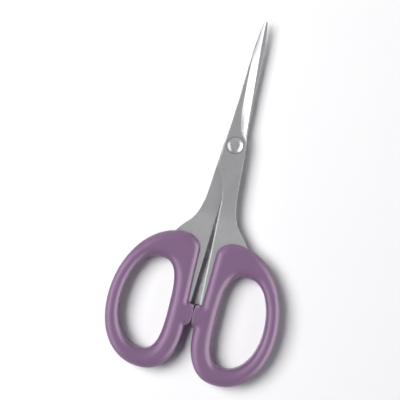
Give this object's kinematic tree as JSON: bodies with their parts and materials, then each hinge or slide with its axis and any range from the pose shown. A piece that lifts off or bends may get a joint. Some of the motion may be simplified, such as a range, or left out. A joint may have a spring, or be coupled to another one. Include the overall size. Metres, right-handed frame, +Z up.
{
  "type": "craft scissors",
  "caption": "Slim fine-pointed craft scissors, lying closed, with riveted steel blades and rounded plastic loop handles that meet at stop bumps.",
  "frame": {"origin": "bottom centre of the closed scissors' bounding box, on the surface that they lie on", "axes": "+Z up, +Y towards the blade tips, +X to the right as seen from above the riveted head"},
  "size_m": [0.0644, 0.1355, 0.008],
  "materials": {
    "blade_steel": "fine satin grind",
    "rivet_steel": "turned and tumbled, semi-bright",
    "handle_plastic": "moulded, satin gloss, dusty purple"
  },
  "bodies": {
    "back_half": {"back_blade": "blade_steel", "back_handle": "handle_plastic", "pivot_rivet": "rivet_steel", "pivot_washer": "rivet_steel"},
    "front_half": {"front_blade": "blade_steel", "front_handle": "handle_plastic"}
  },
  "joints": [
    {"name": "pivot", "type": "hinge", "parent": "back_half", "child": "front_half", "pos_m": [0, 0.02035, 0.004], "axis": [0, 0, 1], "range_deg": [0, 60]}
  ]
}
